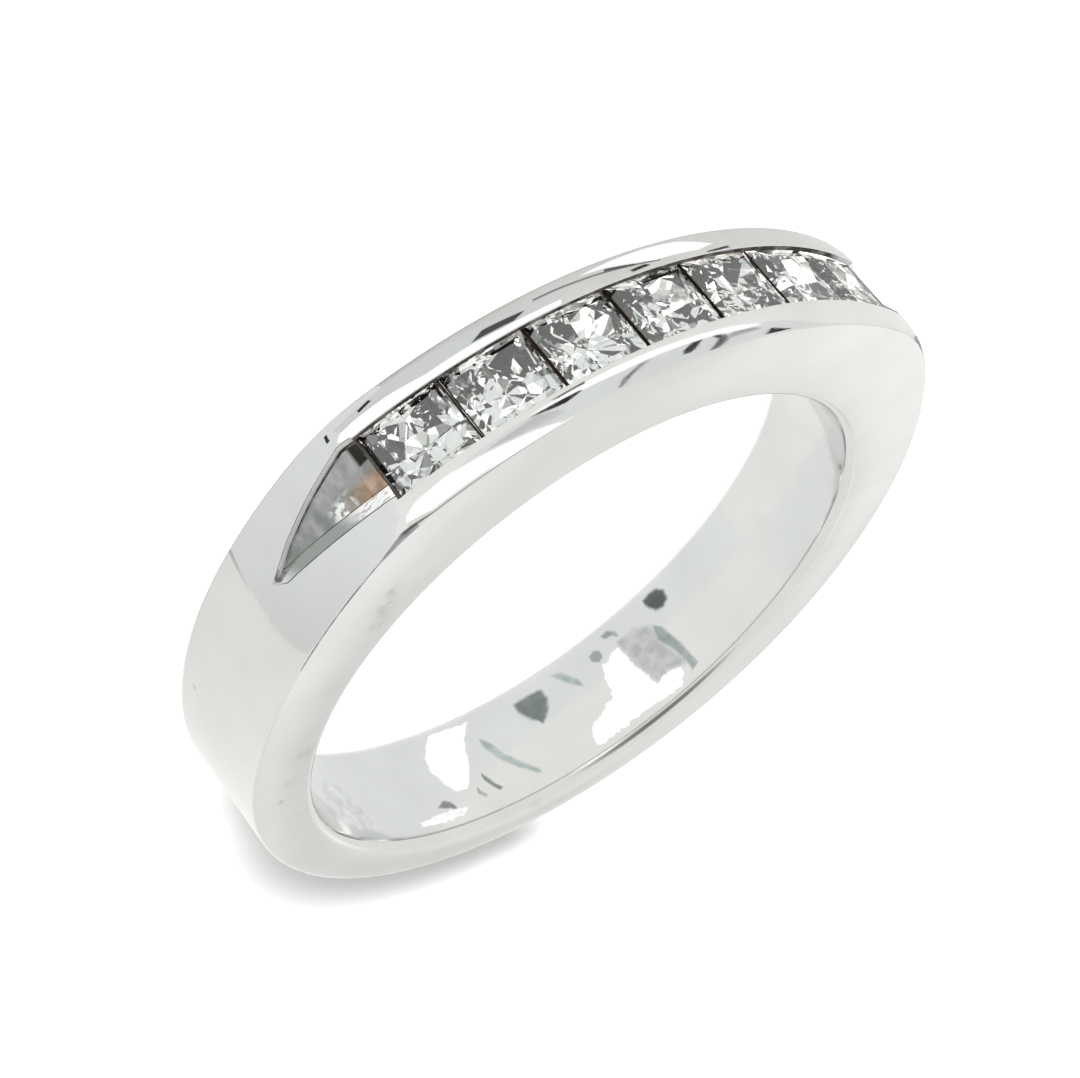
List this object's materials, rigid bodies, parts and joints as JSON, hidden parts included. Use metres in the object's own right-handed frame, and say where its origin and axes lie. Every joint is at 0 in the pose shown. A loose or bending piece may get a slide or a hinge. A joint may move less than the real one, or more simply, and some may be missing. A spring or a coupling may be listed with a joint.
{
  "type": "channel set band",
  "caption": "Polished white metal ring whose top holds a channel of square cut stones between flat rails, with a tapered notch at each end of the row and a shank that thins below.",
  "frame": {"origin": "the middle of the finger hole, on its axis and midway between the two side faces", "axes": "+Z along the axis of the finger hole, up when the ring lies on its side; +Y from the hole to the middle of the stone row; +X along the row"},
  "size_m": [0.0212, 0.021, 0.0036],
  "materials": {
    "white_gold": "polished",
    "diamond": "polished facets"
  },
  "bodies": {
    "root": {"band": "white_gold", "stone_1": "diamond", "stone_2": "diamond", "stone_3": "diamond", "stone_4": "diamond", "stone_5": "diamond", "stone_6": "diamond", "stone_7": "diamond"}
  },
  "joints": []
}
